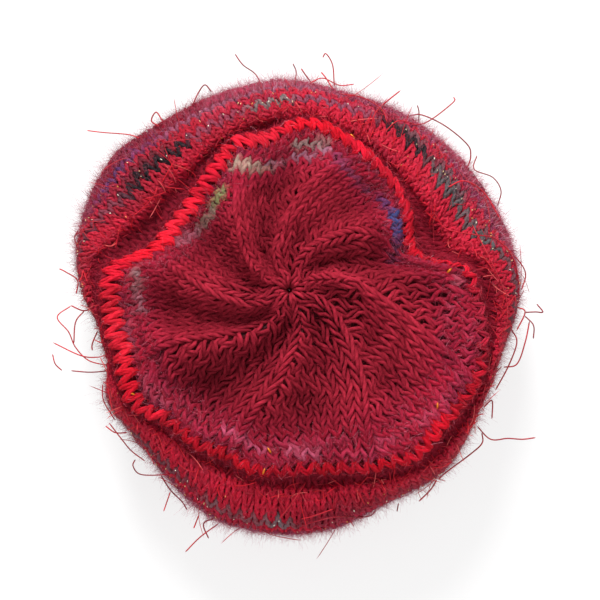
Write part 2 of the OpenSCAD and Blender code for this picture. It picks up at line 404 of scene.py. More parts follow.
class Bag:
    """Collects tubes and ribbons into one mesh."""

    def __init__(self):
        self.v, self.q, self.c, self.y, self.n = [], [], [], [], 0

    def add(self, v, q, c, y):
        self.v.append(v); self.q.append(q + self.n); self.c.append(c); self.y.append(y)
        self.n += len(v)

    def make(self, name):
        return mesh(name, np.concatenate(self.v), np.concatenate(self.q), np.concatenate(self.c), np.concatenate(self.y))


def sweep(bag, path, up, rad, col, sides=6, closed=True, flat_k=1.0, offset=None, caps=True):
    """A tube along path (n,3). up is a rough normal, rad a radius per point, col a colour per point."""
    n = len(path)
    if closed:
        t = np.roll(path, -1, 0) - np.roll(path, 1, 0)
    else:
        t = np.gradient(path, axis=0)
    t /= np.maximum(np.linalg.norm(t, axis=1, keepdims=True), 1e-9)
    side = np.cross(t, up)
    side /= np.maximum(np.linalg.norm(side, axis=1, keepdims=True), 1e-6)
    upp = np.cross(side, t)
    length = np.concatenate([[0], np.cumsum(np.linalg.norm(np.diff(path, axis=0), axis=1))])
    if offset is not None:
        ro, phase, twist = offset
        ph = phase + twist * length
        path = path + ro * (np.cos(ph)[:, None] * side + np.sin(ph)[:, None] * upp * flat_k)
    a = np.arange(sides) / sides * TAU
    ca, sa = np.cos(a), np.sin(a)
    rad = np.broadcast_to(rad, (n,)).copy()
    if not closed and caps:
        rad[0] *= 0.15
        rad[-1] *= 0.15
    v = path[:, None, :] + rad[:, None, None] * (ca[None, :, None] * side[:, None, :] + flat_k * sa[None, :, None] * upp[:, None, :])
    i = np.arange(n if closed else n - 1)
    j = np.arange(sides)
    I, J = np.meshgrid(i, j, indexing="ij")
    I2, J2 = (I + 1) % n, (J + 1) % sides
    q = np.stack([I * sides + J, I * sides + J2, I2 * sides + J2, I2 * sides + J], -1).reshape(-1, 4)
    y = np.stack(np.broadcast_arrays(ca[None, :], sa[None, :], length[:, None]), -1).reshape(-1, 3)
    c = np.repeat(col, sides, 0)
    bag.add(v.reshape(-1, 3), q, c, y)


def wander(n, every, seed_rng, amp=1.0):
    """A smooth random line of n values, that changes over about every values, and closes on itself."""
    m = max(3, int(round(n / every)))
    k = seed_rng.normal(0, amp, m)
    x = np.arange(n) * m / n
    i = x.astype(int)
    f = x - i
    f = f * f * (3 - 2 * f)
    return k[i % m] * (1 - f) + k[(i + 1) % m] * f


# ------------------------------------------------------------------ colours
def C(*rgb):
    return lin(rgb)


COL = {
    "crown": C(133, 27, 42), "crown_up": C(161, 38, 55), "mauve": C(150, 31, 54), "mauve_d": C(112, 20, 40),
    "red": C(206, 17, 37), "valley": C(122, 19, 36), "crimson": C(176, 12, 42), "rim": C(146, 20, 42),
    "rim_pink": C(168, 66, 92), "heather": C(128, 46, 76), "under_mauve": C(150, 42, 66),
}


# the dyed patches of the mauve yarn: from x, y to x, y (mm), half width, colour, strength
STROKES = [
    (-34, 75, -12, 74, 4.2, (152, 128, 114), 1.0), (-12, 76, 4, 78, 3.6, (146, 104, 118), 1.0), (4, 79, 22, 83, 3.2, (152, 106, 126), 0.9),
    (4, 87, 22, 89, 3.8, (150, 122, 118), 1.0), (-39, 59, -46, 50, 3.6, (124, 128, 84), 1.0), (-46, 48, -54, 37, 3.8, (150, 128, 112), 1.0),
    (-54, 37, -66, 29, 3.6, (166, 98, 114), 0.8), (-91, 10, -93, 0, 3.8, (140, 110, 112), 1.0), (-92, -2, -91, -12, 3.8, (156, 104, 116), 0.8),
    (62, 46, 66, 31, 3.7, (58, 64, 112), 1.0), (48, 60, 60, 48, 3.8, (84, 52, 96), 0.9), (64, 28, 62, 15, 4.0, (52, 24, 50), 0.9),
    (28, 80, 46, 60, 3.2, (128, 58, 92), 0.7), (-38, -83, -16, -96, 3.6, (206, 92, 126), 0.7), (0, -96, 17, -97, 3.4, (210, 104, 134), 0.7),
    (-89, -51, -72, -73, 3.4, (190, 88, 114), 0.55), (100, 4, 107, 20, 3.0, (166, 88, 104), 0.5), (90, -34, 96, -12, 4.2, (190, 80, 106), 0.65),
    (54, -92, 84, -74, 4.0, (184, 70, 98), 0.5), (-96, -20, -95, -40, 3.4, (176, 84, 104), 0.6),
]


def tint(c, amount):
    return c * (1 + amount)


def near(a, lo, hi, soft=5):
    """1 between the angles lo and hi."""
    c, w = (lo + hi) / 2, (hi - lo) / 2
    return 1 - smooth(np.abs(wrap(a - c)), w - soft / 2, w + soft)


def mix(c, d, w):
    w = np.clip(w, 0, 1)[:, None]
    return c * (1 - w) + np.asarray(d)[None, :] * w


def colour(band, row, rows, a, r, n1, n2):
    """Colour along a row's yarn. a is the angle, r the radius in mm, n1 and n2 slow random lines."""
    one = np.ones((len(a), 1))
    if band == "crown_swirl":
        c = one * COL["crown"]
        c = mix(c, COL["crown_up"], 0.5 + 0.5 * n1)
        late = smooth(r / np.maximum(np.interp(a % 360, ANG, RED), 1), 0.62, 0.80)
        c = mix(c, COL["mauve"], late * np.clip(0.40 + 0.5 * n2, 0, 0.8))
        c = c * (1 + 0.10 * n2)[:, None]
    elif band == "mauve_band":
        c = one * C(150, 22, 44)
        c = mix(c, COL["mauve_d"], np.clip(0.20 + 0.7 * n1, 0, 0.9))
        c = mix(c, C(182, 52, 82), np.clip(0.6 * n2 + 0.05, 0, 0.6) * (1 - 0.7 * near(a, 20, 205)))
        c = c * (1 - 0.12 * near(a, 155, 215, 12) + 0.10 * near(a, 318, 368, 12))[:, None]
        spot = np.clip(0.7 + 0.8 * n1, 0, 1)
        x, y = r * np.cos(np.radians(a)), r * np.sin(np.radians(a))
        x, y = x / 0.964, y / 0.964
        for x0, y0, x1, y1, hw, tone, strength in STROKES:
            dx, dy = x1 - x0, y1 - y0
            t = np.clip(((x - x0) * dx + (y - y0) * dy) / (dx * dx + dy * dy), 0, 1)
            d = np.hypot(x - x0 - t * dx, y - y0 - t * dy)
            c = mix(c, C(*tone), strength * (1 - smooth(d, hw * 0.55, hw * 1.05)) * np.clip(0.75 + 0.9 * n2, 0.1, 1))
        c = mix(c, C(84, 20, 40), (0.65 if row == 4 else 0.0) * np.clip(0.7 + 0.8 * n1, 0, 1))
    elif band == "bright_red_band":
        c = one * COL["red"]
        c = mix(c, C(182, 22, 46), np.clip(0.28 + 0.6 * n1, 0, 0.85))
        c = mix(c, C(214, 40, 58), np.clip(0.5 * n2, 0, 0.5))
        c = c * (1 - 0.20 * near(a, 235, 300, 12))[:, None]
        c = mix(c, C(150, 34, 56), near(a, 338, 368, 10) * np.clip(0.3 + 0.9 * n2, 0, 0.8))
        c = mix(c, C(160, 22, 40), near(a, 323, 340) * 0.5 + near(a, 215, 232) * 0.4 + near(a, 20, 56) * 0.45)
    elif band == "valley_mohair_band":
        c = one * COL["valley"]
        c = mix(c, C(150, 30, 48), np.clip(0.4 * n1 + 0.15 + 0.40 * near(a, 225, 330), 0, 1))
        c = mix(c, C(96, 16, 30), near(a, 100, 175) * 0.35)
    elif band == "eyelash_band":
        c = one * COL["crimson"]
        c = mix(c, C(200, 24, 54), np.clip((0.35 if row == 0 else 0.1) + 0.5 * n1, 0, 0.85))
        c = mix(c, C(128, 22, 44), np.clip(0.5 * n2, 0, 0.7))
        c = c * (1 - 0.16 * near(a, 100, 175, 12))[:, None]
    elif band == "variegated_stripe":
        c = one * C(148, 28, 50)
        c = mix(c, C(124, 60, 82), near(a, 62, 126, 5) * np.clip(0.7 + 0.5 * n2, 0, 1))
        c = mix(c, C(17, 15, 21), near(a, 124, 151, 3))
        c = mix(c, C(24, 20, 26), near(a, 44, 61, 4))
        c = mix(c, C(76, 80, 82), near(a, 8, 43, 4) * np.clip(0.9 + 0.3 * n1, 0, 1))
        c = mix(c, C(112, 118, 114), near(a, 91, 102, 4) * np.clip(0.8 + 0.5 * n2, 0, 1))
        c = mix(c, C(96, 50, 64), near(a, 150, 172) * 0.7)
        c = mix(c, C(104, 108, 112), near(a, 249, 270, 4) * np.clip(0.75 + 0.5 * n1, 0, 1))
        c = mix(c, C(90, 76, 84), near(a, 350, 367) * 0.7 + near(a, 222, 240) * 0.6)
    elif band == "flecked_crimson_band":
        c = one * COL["crimson"]
        c = mix(c, C(120, 28, 58), np.clip(0.25 + 0.5 * n1, 0, 0.8))
        c = mix(c, C(196, 70, 96), np.clip(0.6 * n2 - 0.25, 0, 0.6) * (1 - 0.7 * near(a, 118, 205)))
        c = c * (1 - 0.14 * near(a, 118, 175, 12))[:, None]
        if row == 0:
            c = mix(c, C(20, 17, 24), near(a, 128, 147, 4) * np.clip(0.7 + 0.7 * n1, 0, 0.95))
            c = c * (1 + 0.25 * near(a, 240, 295, 10))[:, None]
            c = mix(c, C(70, 74, 78), near(a, 16, 40, 4) * np.clip(0.5 + 0.8 * n1, 0, 0.8) + near(a, 48, 57, 3) * 0.7)
    elif band == "heather_band":
        c = one * COL["heather"]
        c = mix(c, C(112, 24, 46), near(a, 153, 205) * 0.6)
        c = mix(c, C(46, 46, 98), near(a, 126, 156) * np.clip(0.8 + 0.4 * n1, 0, 1))
        c = mix(c, C(134, 108, 128), near(a, 84, 128) * 0.6 * np.clip(0.6 + 0.5 * n2, 0, 1))
        c = mix(c, C(170, 70, 100), np.clip(0.5 * n2, 0, 0.6))
        c = c * (1 + 0.35 * near(a, 240, 295, 10))[:, None]
    elif band == "rim_mohair_band":
        c = one * COL["rim"]
        c = mix(c, C(112, 24, 46), np.clip(0.3 + 0.5 * n1, 0, 0.8))
        c = mix(c, COL["rim_pink"], (near(a, 344, 420) * 0.30 + near(a, 68, 114) * 0.45) + np.clip(0.25 * n2, 0, 0.25))
        c = mix(c, C(124, 18, 38), near(a, 118, 205) * 0.85)
        c = mix(c, C(190, 74, 96), near(a, 244, 290) * 0.5)
        c = c * (1 + 0.25 * near(a, 244, 290))[:, None]
    elif band == "underside_crimson_band":
        c = one * C(160, 30, 50)
        c = mix(c, C(118, 22, 42), np.clip(0.3 + 0.5 * n1, 0, 0.8))
    elif band == "underside_mauve_band":
        c = one * COL["under_mauve"]
        c = mix(c, C(120, 40, 66), np.clip(0.3 + 0.5 * n1, 0, 0.9))
        c = mix(c, C(128, 96, 110), near(a, 60, 110) * 0.35 + near(a, 240, 290) * 0.35)
    elif band == "increase_round_band":
        c = one * C(150, 30, 48)
        c = mix(c, C(112, 24, 40), np.clip(0.3 + 0.5 * n1, 0, 0.9))
    else:
        c = one * C(140, 28, 44)
        c = mix(c, C(108, 22, 36), np.clip(0.35 + 0.4 * n1, 0, 0.9))
    return c


# ------------------------------------------------------------------ knitting
# band: stitches per wedge or per round, yarn radius, leg rise, sides, steps, strands, strand offset, twist, unevenness
STYLE = {
    "crown_swirl": dict(rad=1.15, d=2.2, sides=8, steps=20, strands=1, rough=0.7, a=0.30, high=1.40, thin=0.28, tilt=1.0),
    "mauve_band": dict(rad=1.24, d=1.7, sides=8, steps=16, strands=1, rough=1.8, a=0.31, high=1.40, thin=0.34, tilt=0.9),
    "bright_red_band": dict(rad=1.04, d=1.9, sides=6, steps=20, strands=3, off=1.0, twist=0.18, rough=2.0, a=0.30, high=1.08, thin=0.52, tilt=0.5, lift=0.7),
    "valley_mohair_band": dict(rad=1.55, d=1.0, sides=6, steps=14, strands=1, rough=2.0, a=0.25, high=1.05, thin=0.6),
    "eyelash_band": dict(rad=0.98, d=1.5, sides=6, steps=16, strands=2, off=0.80, twist=0.8, rough=0.9, a=0.30, high=1.36, thin=0.42, tilt=0.5),
    "variegated_stripe": dict(rad=1.02, d=1.5, sides=6, steps=16, strands=2, off=0.84, twist=0.8, rough=0.8, a=0.30, high=1.36, thin=0.42, tilt=0.5),
    "flecked_crimson_band": dict(rad=0.98, d=1.5, sides=6, steps=16, strands=2, off=0.80, twist=0.8, rough=0.9, a=0.30, high=1.36, thin=0.42, tilt=0.5),
    "heather_band": dict(rad=1.5, d=1.0, sides=6, steps=16, strands=1, rough=1.6),
    "rim_mohair_band": dict(rad=1.75, d=0.75, sides=6, steps=14, strands=1, rough=2.2),
    "underside_crimson_band": dict(rad=1.40, d=1.1, sides=6, steps=12, strands=1, rough=1.0),
    "underside_mauve_band": dict(rad=1.40, d=1.1, sides=6, steps=12, strands=1, rough=1.0),
    "increase_round_band": dict(rad=1.35, d=1.0, sides=6, steps=12, strands=1, rough=0.8),
    "brim_rib_band": dict(rad=1.25, d=0.9, sides=6, steps=14, strands=1, rough=0.5),
}


def per_round(band, row):
    if band == "crown_swirl":
        return 8 * NW[row]
    if band == "mauve_band":
        return 8 * NW[13 + row]
    if band == "bright_red_band":
        return 84
    if band in ("increase_round_band", "brim_rib_band"):
        return 88
    if band == "valley_mohair_band":
        return 88 if row < 2 else 104
    return 104


def row_line(band, row, steps):
    """The yarn of one round: v, u, height over the fabric's middle, stitch number, phase in the stitch."""
    st = STYLE[band]
    N = per_round(band, row)
    m = ROW0[band] + row
    t = np.arange(N * steps) / steps
    ph = t % 1.0
    k = t.astype(int)
    rr = st["rough"]
    jit = wander(N * steps, steps * 0.9, rng, 0.035 * rr)
    jit2 = wander(N * steps, steps * 1.1, rng, 0.05 * rr)
    a = st.get("a", 0.20) * (1 + 0.12 * wander(N * steps, steps, rng))
    c = t + a * np.sin(2 * TAU * ph) + jit
    high = st.get("high", 0.96) * (1 + 0.06 * wander(N * steps, steps, rng) * rr)
    v = m + 0.5 + high * np.cos(TAU * ph) + jit2
    front = 0.5 - 0.5 * np.cos(2 * TAU * ph)
    z = st["d"] * (2 * front ** 0.65 - 1) + wander(N * steps, steps * 1.2, rng, 0.16 * rr)
    z = z + st.get("tilt", 0.0) * np.cos(TAU * ph) * front ** 0.5 + st.get("lift", 0.0)
    if (band, row) in (("valley_mohair_band", 0), ("mauve_band", 4)):
        z = z - 0.7
    if band in ("crown_swirl", "mauve_band"):
        n = N // 8
        w = np.floor(t / n).astype(int)  # wedge, clockwise from its own arm
        local = c - w * n
        A = anchors(v)
        ii = 7 - w
        rows = np.arange(len(v))
        lo, hi = A[rows, ii], A[rows, ii + 1]
        nn = np.maximum(n_wedge(v), 1.0)
        f = local / nn
        u = hi - f * (hi - lo)
        # the stitch that is eaten at the next arm goes under it
        over = smooth(f, 1.0 - 0.9 / n, 1.0 + 0.3 / n)
        z = z - 0.9 * over * (1 if n > 1 else 0)
        arm = np.exp(-0.5 * ((local - 0.5) / 0.6) ** 2)
        z = z + 0.85 * arm
    else:
        A = anchors(v)
        x = (c / N * 8)
        w = np.floor(x).astype(int)
        f = x - w
        rows = np.arange(len(v))
        turns = np.floor(w / 8)
        w = w % 8
        u = A[rows, w] * (1 - f) + A[rows, w + 1] * f + turns
    if band == "brim_rib_band":
        s = np.sin(math.pi * t)
        z = -st["d"] * np.cos(2 * TAU * ph) * s + 0.75 * s
    return v, u, z, k, ph, N


pieces, spine = {}, {}
for band, _, _, rows in BANDS:
    st = STYLE[band]
    bag = Bag()
    keep = []
    for row in range(rows):
        steps = st["steps"]
        v, u, z, k, ph, N = row_line(band, row, steps)
        p, n = surf(v, u)
        p = p + n * z[:, None]
        a = np.degrees(np.arctan2(p[:, 1], p[:, 0]))
        r = np.hypot(p[:, 0], p[:, 1])
        n1, n2 = wander(len(t_ := v), steps * 2.2, rng, 0.55), wander(len(v), steps * 3.1, rng, 0.5)
        if band == "mauve_band":
            mid, _ = surf(np.full(len(v), ROW0[band] + row + 0.5), u)
            am, rm = np.degrees(np.arctan2(mid[:, 1], mid[:, 0])), np.hypot(mid[:, 0], mid[:, 1])
            n2 = n2 + wander(len(v), steps * 0.5, rng, 0.35)
            col = colour(band, row, rows, am, rm, n1, n2)
        else:
            col = colour(band, row, rows, a, r, n1, n2)
        shade = rng.normal(0, 0.15 if band == "bright_red_band" else 0.07, N)[np.minimum(k, N - 1)]
        legs = 0.5 - 0.5 * np.cos(2 * TAU * ph)
        deep = 0.34 if band == "crown_swirl" else 0.40
        # painted shade: the yarn is darkened to deep times its colour where it dips into the fabric at the ends of each
        # leg, and kept bright on the raised legs
        col = col * (1 + shade)[:, None] * np.clip(deep + (1.05 - deep) * legs * (1 + 0.12 * np.cos(TAU * ph)), 0.28, 1.2)[:, None]
        # painted shade: the crown and mauve rounds are darker in the hollows of the swirl and the folds and lighter on
        # the ridges
        if band in ("crown_swirl", "mauve_band"):
            painted_shade_height = np.clip(relief(a, r), -7, 3) + np.clip(folds(a, r), -5, 3) * 0.7
            col = col * np.clip(1.0 + 0.052 * painted_shade_height + 0.03, 0.55, 1.16)[:, None]
        thin = st.get("thin", 0.70)
        size = st["rad"]
        if band == "bright_red_band":
            size = size * (1 - 0.16 * near(a, 325, 375, 12) - 0.10 * near(a, 236, 300, 12) + 0.03 * near(a, 100, 218, 12)) * (1 + wander(len(v), steps * 1.3, rng, 0.10))
        rad = size * (thin + (1.06 - thin) * legs ** 0.8) * (1 + wander(len(v), steps * 0.7, rng, 0.05 * st["rough"]))
        if band == "crown_swirl":
            rad = rad * np.interp(row, [0, 1, 3, 5], [0.80, 0.86, 0.95, 1.0])
        for s in range(st["strands"]):
            off = None
            if st["strands"] > 1:
                off = (st["off"], TAU * s / st["strands"] + row, st["twist"])
            tone = 1 + (rng.normal(0, 0.05) if st["strands"] > 1 else 0)
            sweep(bag, p, n, rad, col * tone, sides=st["sides"], flat_k=0.92 if st["strands"] == 1 else (0.7 if band == "bright_red_band" else 0.95), offset=off)
        keep.append((v, u, p, n, z, ph, k, N))
    spine[band] = keep
    pieces[band] = bag

MADE = {}
for band in pieces:
    MADE[band] = pieces[band].make(band + "_yarn")

# ------------------------------------------------------------------ backing: the inner layer of the fabric, coloured dark as painted shade in the gaps between the stitches
vv = np.linspace(V0 + 0.01, ROW0["brim_rib_band"] + 5, 320)
uu = np.arange(900) / 900
VV, UU = np.meshgrid(vv, uu, indexing="ij")
bp, bn = surf(VV, UU)
back_z = -0.55 + 0.18 * np.cos(TAU * VV) + 0.12 * np.cos(TAU * UU * 96)
bp = bp + bn * back_z[..., None]
painted_gap_shade_col = np.zeros(bp.shape)
for bi, (band, _, _, rows) in enumerate(BANDS):
    sel = (vv >= ROW0[band]) & (vv < ROW0[band] + rows) if bi else (vv < ROW0[band] + rows)
    for i in np.nonzero(sel)[0]:
        a = np.degrees(np.arctan2(bp[i, :, 1], bp[i, :, 0]))
        r = np.hypot(bp[i, :, 0], bp[i, :, 1])
        row = int(np.clip(vv[i] - ROW0[band], 0, rows - 1))
        # painted shade: the yarn's colour at 0.14 under the crown and mauve rounds and at 0.22 elsewhere
        painted_gap_shade_col[i] = colour(band, row, rows, a, r, np.zeros(900), np.zeros(900)) * (0.14 if bi < 2 else 0.22)
i, j = np.meshgrid(np.arange(319), np.arange(900), indexing="ij")
j2 = (j + 1) % 900
# only the rows and columns that the fabric needs, at half density on the grid
quads = np.stack([i * 900 + j, (i + 1) * 900 + j, (i + 1) * 900 + j2, i * 900 + j2], -1).reshape(-1, 4)
step_v, step_u = 2, 3
vi, ui = np.arange(0, 320, step_v), np.arange(0, 900, step_u)
bp2, painted_gap_shade_col2 = bp[np.ix_(vi, ui)], painted_gap_shade_col[np.ix_(vi, ui)]
nv, nu = len(vi), len(ui)
i, j = np.meshgrid(np.arange(nv - 1), np.arange(nu), indexing="ij")
j2 = (j + 1) % nu
quads = np.stack([i * nu + j, (i + 1) * nu + j, (i + 1) * nu + j2, i * nu + j2], -1).reshape(-1, 4)
fabric = mesh("knitted_fabric", bp2.reshape(-1, 3), quads, painted_gap_shade_col2.reshape(-1, 3), np.zeros((nv * nu, 3)))

# ------------------------------------------------------------------ cast-on edge and closing loops
bag = Bag()
n = 88 * 10
t = np.arange(n) / n
for s in range(2):
    ph = TAU * t * 88 / 1.0 + math.pi * s
    r = 86.2 + 0.95 * np.cos(ph)
    zz = 1.75 + 0.85 * np.sin(ph)
    p = np.stack([r * np.cos(TAU * t), r * np.sin(TAU * t), zz], -1)
    up = np.stack([np.cos(TAU * t), np.sin(TAU * t), 0 * t], -1)
    c = np.ones((n, 1)) * C(132, 26, 42) * (1 + wander(n, 14, rng, 0.08))[:, None]
    sweep(bag, p, up, 0.95, c, sides=6)
MADE["cast_on_edge"] = bag.make("cast_on_edge_yarn")

bag = Bag()
STRANDS = 12
for k in range(STRANDS):
    a0 = TAU * k / STRANDS + 0.10 * math.sin(2.3 * k) + 0.06
    t = np.linspace(0, 1, 20)
    far = 10.5 + 1.8 * math.sin(4.1 * k + 0.7)
    r = 1.5 + (far - 1.5) * t
    ang = a0 + np.radians(arm_turn(r) - arm_turn(6.0)) * 0.8
    zz = CROWN_Z - 5.0 + 3.9 * smooth(r, 1.2, 5.5) - 1.9 * smooth(r, far - 4.0, far) + 0.25 * math.sin(7 * k)
    p = np.stack([r * np.cos(ang), r * np.sin(ang), zz], -1)
    # painted shade: the strands darken towards the hole in the middle
    c = np.ones((20, 1)) * COL["crown_up"] * (0.45 + 0.55 * smooth(r, 1.5, 5))[:, None] * (1 + rng.normal(0, 0.07))
    sweep(bag, p, np.tile([0, 0, 1.0], (20, 1)), 1.0 * (0.55 + 0.5 * np.sin(math.pi * np.clip(t * 0.9 + 0.05, 0, 1)) ** 0.7), c, sides=8, closed=False)
# the drawn-up tail that closes the hole from below, at 0.22 of the crown's colour as painted shade in the hole
t = np.linspace(0, 1, 90)
p = np.stack([(2.0 - 1.5 * t) * np.cos(TAU * 2.2 * t), (2.0 - 1.5 * t) * np.sin(TAU * 2.2 * t), CROWN_Z - 6.4 - 1.2 * t], -1)
sweep(bag, p, np.tile([0, 0, 1.0], (90, 1)), 0.85, np.ones((90, 1)) * COL["crown"] * 0.22, sides=6, closed=False)
MADE["crown_closing_ring"] = bag.make("crown_closing_loops")

# ------------------------------------------------------------------ yarn ends woven in on the inside
bag = Bag()
ENDS = [("mauve_band", 262), ("bright_red_band", 275), ("valley_mohair_band", 258), ("variegated_stripe", 280), ("flecked_crimson_band", 262),
        ("heather_band", 282), ("underside_crimson_band", 264), ("underside_mauve_band", 278)]
for band, a in ENDS:
    u0 = ((a - 270) / 360) % 1.0
    s = np.linspace(-1, 1, 60)
    vm = ROW0[band] + 0.5
    p, n = surf(vm + 0.32 * np.sin(9 * s), u0 + s * 0.022)
    p = p - n * (3.0 + 0.25 * np.cos(18 * s))[:, None]
    ang = np.degrees(np.arctan2(p[:, 1], p[:, 0]))
    c = colour(band, 0, 1, ang, np.hypot(p[:, 0], p[:, 1]), 0 * s, 0 * s) * 0.9
    sweep(bag, p, n, 0.95, c, sides=6, closed=False)
MADE["woven_in_ends"] = bag.make("woven_in_ends_yarn")

# ------------------------------------------------------------------ ribbons: fibres of the yarn standing off it
def ribbons(bag, root, d0, d1, width, col, segs=3):
    """Many fibres at once. root (n,3), d0 first direction times length, d1 bend, width per fibre."""
    n = len(root)
    s = np.linspace(0, 1, segs + 1)
    pts = root[:, None, :] + s[None, :, None] * d0[:, None, :] + (s**2)[None, :, None] * d1[:, None, :]
    tan = d0[:, None, :] + 2 * s[None, :, None] * d1[:, None, :]
    ref = rng.normal(0, 1, (n, 1, 3))
    sd = np.cross(tan, ref)
    sd /= np.maximum(np.linalg.norm(sd, axis=2, keepdims=True), 1e-9)
    pts[:, :, 2] = np.maximum(pts[:, :, 2], 0.3)
    w = width[:, None, None] * (1 - 0.6 * s)[None, :, None] * 0.5
    v = np.stack([pts - sd * w, pts + sd * w], 2)  # n, segs+1, 2, 3
    base = (np.arange(n) * (segs + 1) * 2)[:, None]
    k = np.arange(segs)[None, :] * 2
    q = np.stack([base + k, base + k + 1, base + k + 3, base + k + 2], -1).reshape(-1, 4)
    c = np.repeat(col, (segs + 1) * 2, 0)
    bag.add(v.reshape(-1, 3), q, c, np.zeros((len(c), 3)))


def fuzz(name, band_list, count, length, width, lift, colfun, spread=1.0, where=None, out=1.6, segs=3, vjit=0.5):
    bag = Bag()
    lens = [sum(len(x[0]) for x in spine[b]) for b in band_list]
    for b, L in zip(band_list, lens):
        n = int(count * L / sum(lens))
        V = np.concatenate([x[0] for x in spine[b]])
        Uu = np.concatenate([x[1] for x in spine[b]])
        Z = np.concatenate([x[4] for x in spine[b]])
        pick = rng.integers(0, len(V), n)
        v = V[pick] + rng.normal(0, vjit * 0.3, n)
        u = Uu[pick] + rng.normal(0, 0.0012, n)
        p, nn = surf(v, u)
        p = p + nn * (np.maximum(Z[pick], 0.2) + 0.8 + rng.random(n) * 0.5)[:, None]
        if where is not None:
            a = np.degrees(np.arctan2(p[:, 1], p[:, 0]))
            ok = rng.random(n) < where(a, v)
            p, nn, v, u = p[ok], nn[ok], v[ok], u[ok]
            n = len(p)
        if n == 0:
            continue
        tang = rng.normal(0, 1, (n, 3))
        tang -= (tang * nn).sum(1, keepdims=True) * nn
        tang /= np.maximum(np.linalg.norm(tang, axis=1, keepdims=True), 1e-9)
        L = length[0] + (length[1] - length[0]) * rng.random(n) ** 1.6
        li = lift[0] + (lift[1] - lift[0]) * rng.random(n)
        d0 = (tang * spread + nn * li[:, None])
        d0 /= np.linalg.norm(d0, axis=1, keepdims=True)
        bend = rng.normal(0, 0.45, (n, 3)) - nn * 0.45 * rng.random((n, 1))
        a = np.degrees(np.arctan2(p[:, 1], p[:, 0]))
        r = np.hypot(p[:, 0], p[:, 1])
        col = colfun(b, a, r, n)
        ribbons(bag, p, d0 * L[:, None], bend * L[:, None], width * (0.6 + 0.8 * rng.random(n)), col, segs)
    return bag.make(name)


def fuzz_colour(gain, pale=0.0, pale_col=(214, 150, 168)):
    def f(b, a, r, n):
        rows = max(1, len(spine[b]))
        c = colour(b, min(1, rows - 1), rows, a, r, rng.normal(0, 0.5, n), rng.normal(0, 0.5, n))
        c = c * gain * (1 + rng.normal(0, 0.14, n))[:, None]
        w = np.clip(pale + 0.2 * rng.normal(0, 1, n), 0, 0.9) if pale > 0 else np.zeros(n)
        return mix(c, lin(pale_col), w)
    return f


MADE["fuzz_valley"] = fuzz("mohair_fibres_valley", ["valley_mohair_band"], 24000, (2.0, 6.0), 0.19, (0.05, 0.6), fuzz_colour(1.1, 0.05, (170, 60, 84)))
MADE["fuzz_rim"] = fuzz("mohair_fibres_rim", ["heather_band", "rim_mohair_band"], 30000, (2.5, 6.5), 0.16, (0.08, 0.8), fuzz_colour(1.15, 0.06, (184, 84, 110)))
MADE["fuzz_bands"] = fuzz("wool_fibres_bands", ["eyelash_band", "variegated_stripe", "flecked_crimson_band"], 12000, (1.5, 4.5), 0.12, (0.1, 0.8), fuzz_colour(1.15, 0.05))
MADE["fuzz_mauve"] = fuzz("mohair_fibres_mauve", ["mauve_band", "bright_red_band"], 22000, (1.8, 5.0), 0.15, (0.05, 0.5), fuzz_colour(1.1, 0.06))
MADE["fuzz_crown"] = fuzz("wool_fibres_crown", ["crown_swirl"], 30000, (1.2, 4.2), 0.13, (0.1, 0.7), fuzz_colour(1.12))
MADE["fuzz_under"] = fuzz("wool_fibres_underside", ["underside_crimson_band", "underside_mauve_band", "increase_round_band", "brim_rib_band"], 10000, (1.5, 5.0), 0.09, (0.1, 0.9), fuzz_colour(1.15, 0.05))

# the pale halo round the outline
bag = Bag()
n = 26000
v = ROW0["flecked_crimson_band"] + 1 + rng.random(n) * 6.2
u = rng.random(n)
p, nn = surf(v, u)
p = p + nn * 1.8
outw = p * np.array([1, 1, 0.0])
outw /= np.linalg.norm(outw, axis=1, keepdims=True)
d0 = outw * (0.7 + 0.5 * rng.random((n, 1))) + rng.normal(0, 0.55, (n, 3))
d0 /= np.linalg.norm(d0, axis=1, keepdims=True)
L = 2.0 + 5.5 * rng.random(n) ** 2.0
ah = np.degrees(np.arctan2(p[:, 1], p[:, 0]))
deep = near(ah, 108, 215, 15)
col = mix(mix(np.ones((n, 1)) * C(176, 90, 114), lin((140, 34, 56)), 0.8 * deep), lin((214, 176, 190)), rng.random(n) * (1 - 0.55 * deep))
col = mix(col, lin((160, 50, 74)), np.clip(rng.normal(0.3, 0.3, n), 0, 1))
ribbons(bag, p, d0 * L[:, None], rng.normal(0, 0.4, (n, 3)) * L[:, None], 0.11 * (0.6 + 0.8 * rng.random(n)), col, 3)
MADE["halo"] = bag.make("mohair_halo")

# ------------------------------------------------------------------ eyelash yarn: long free hairs
def curve(points, n):
    """A smooth line through a few points."""
    P = np.asarray(points, float)
    P = np.concatenate([[2 * P[0] - P[1]], P, [2 * P[-1] - P[-2]]])
    t = np.linspace(0, len(P) - 3 - 1e-6, n)
    i = t.astype(int)
    f = (t - i)[:, None]
    a, b, c, d = P[i], P[i + 1], P[i + 2], P[i + 3]
    return 0.5 * (2 * b + (c - a) * f + (2 * a - 5 * b + 4 * c - d) * f**2 + (3 * b - a - 3 * c + d) * f**3)


def top_z(x, y, over=3.2):
    """Height of the outside of the fabric over x, y in mm; past the outline it stays near the rim."""
    a = math.degrees(math.atan2(y, x)) % 360
    r = math.hypot(x, y)
    k = int(round(a / STEP)) % NA
    prof_r, prof_z = RG[:, k], ZG[:, k]
    top = int(np.argmax(prof_r))
    if r >= prof_r[top]:
        return prof_z[top] + 2
    return float(np.interp(r, prof_r[:top + 1], prof_z[:top + 1])) + over


bag_hair = Bag()


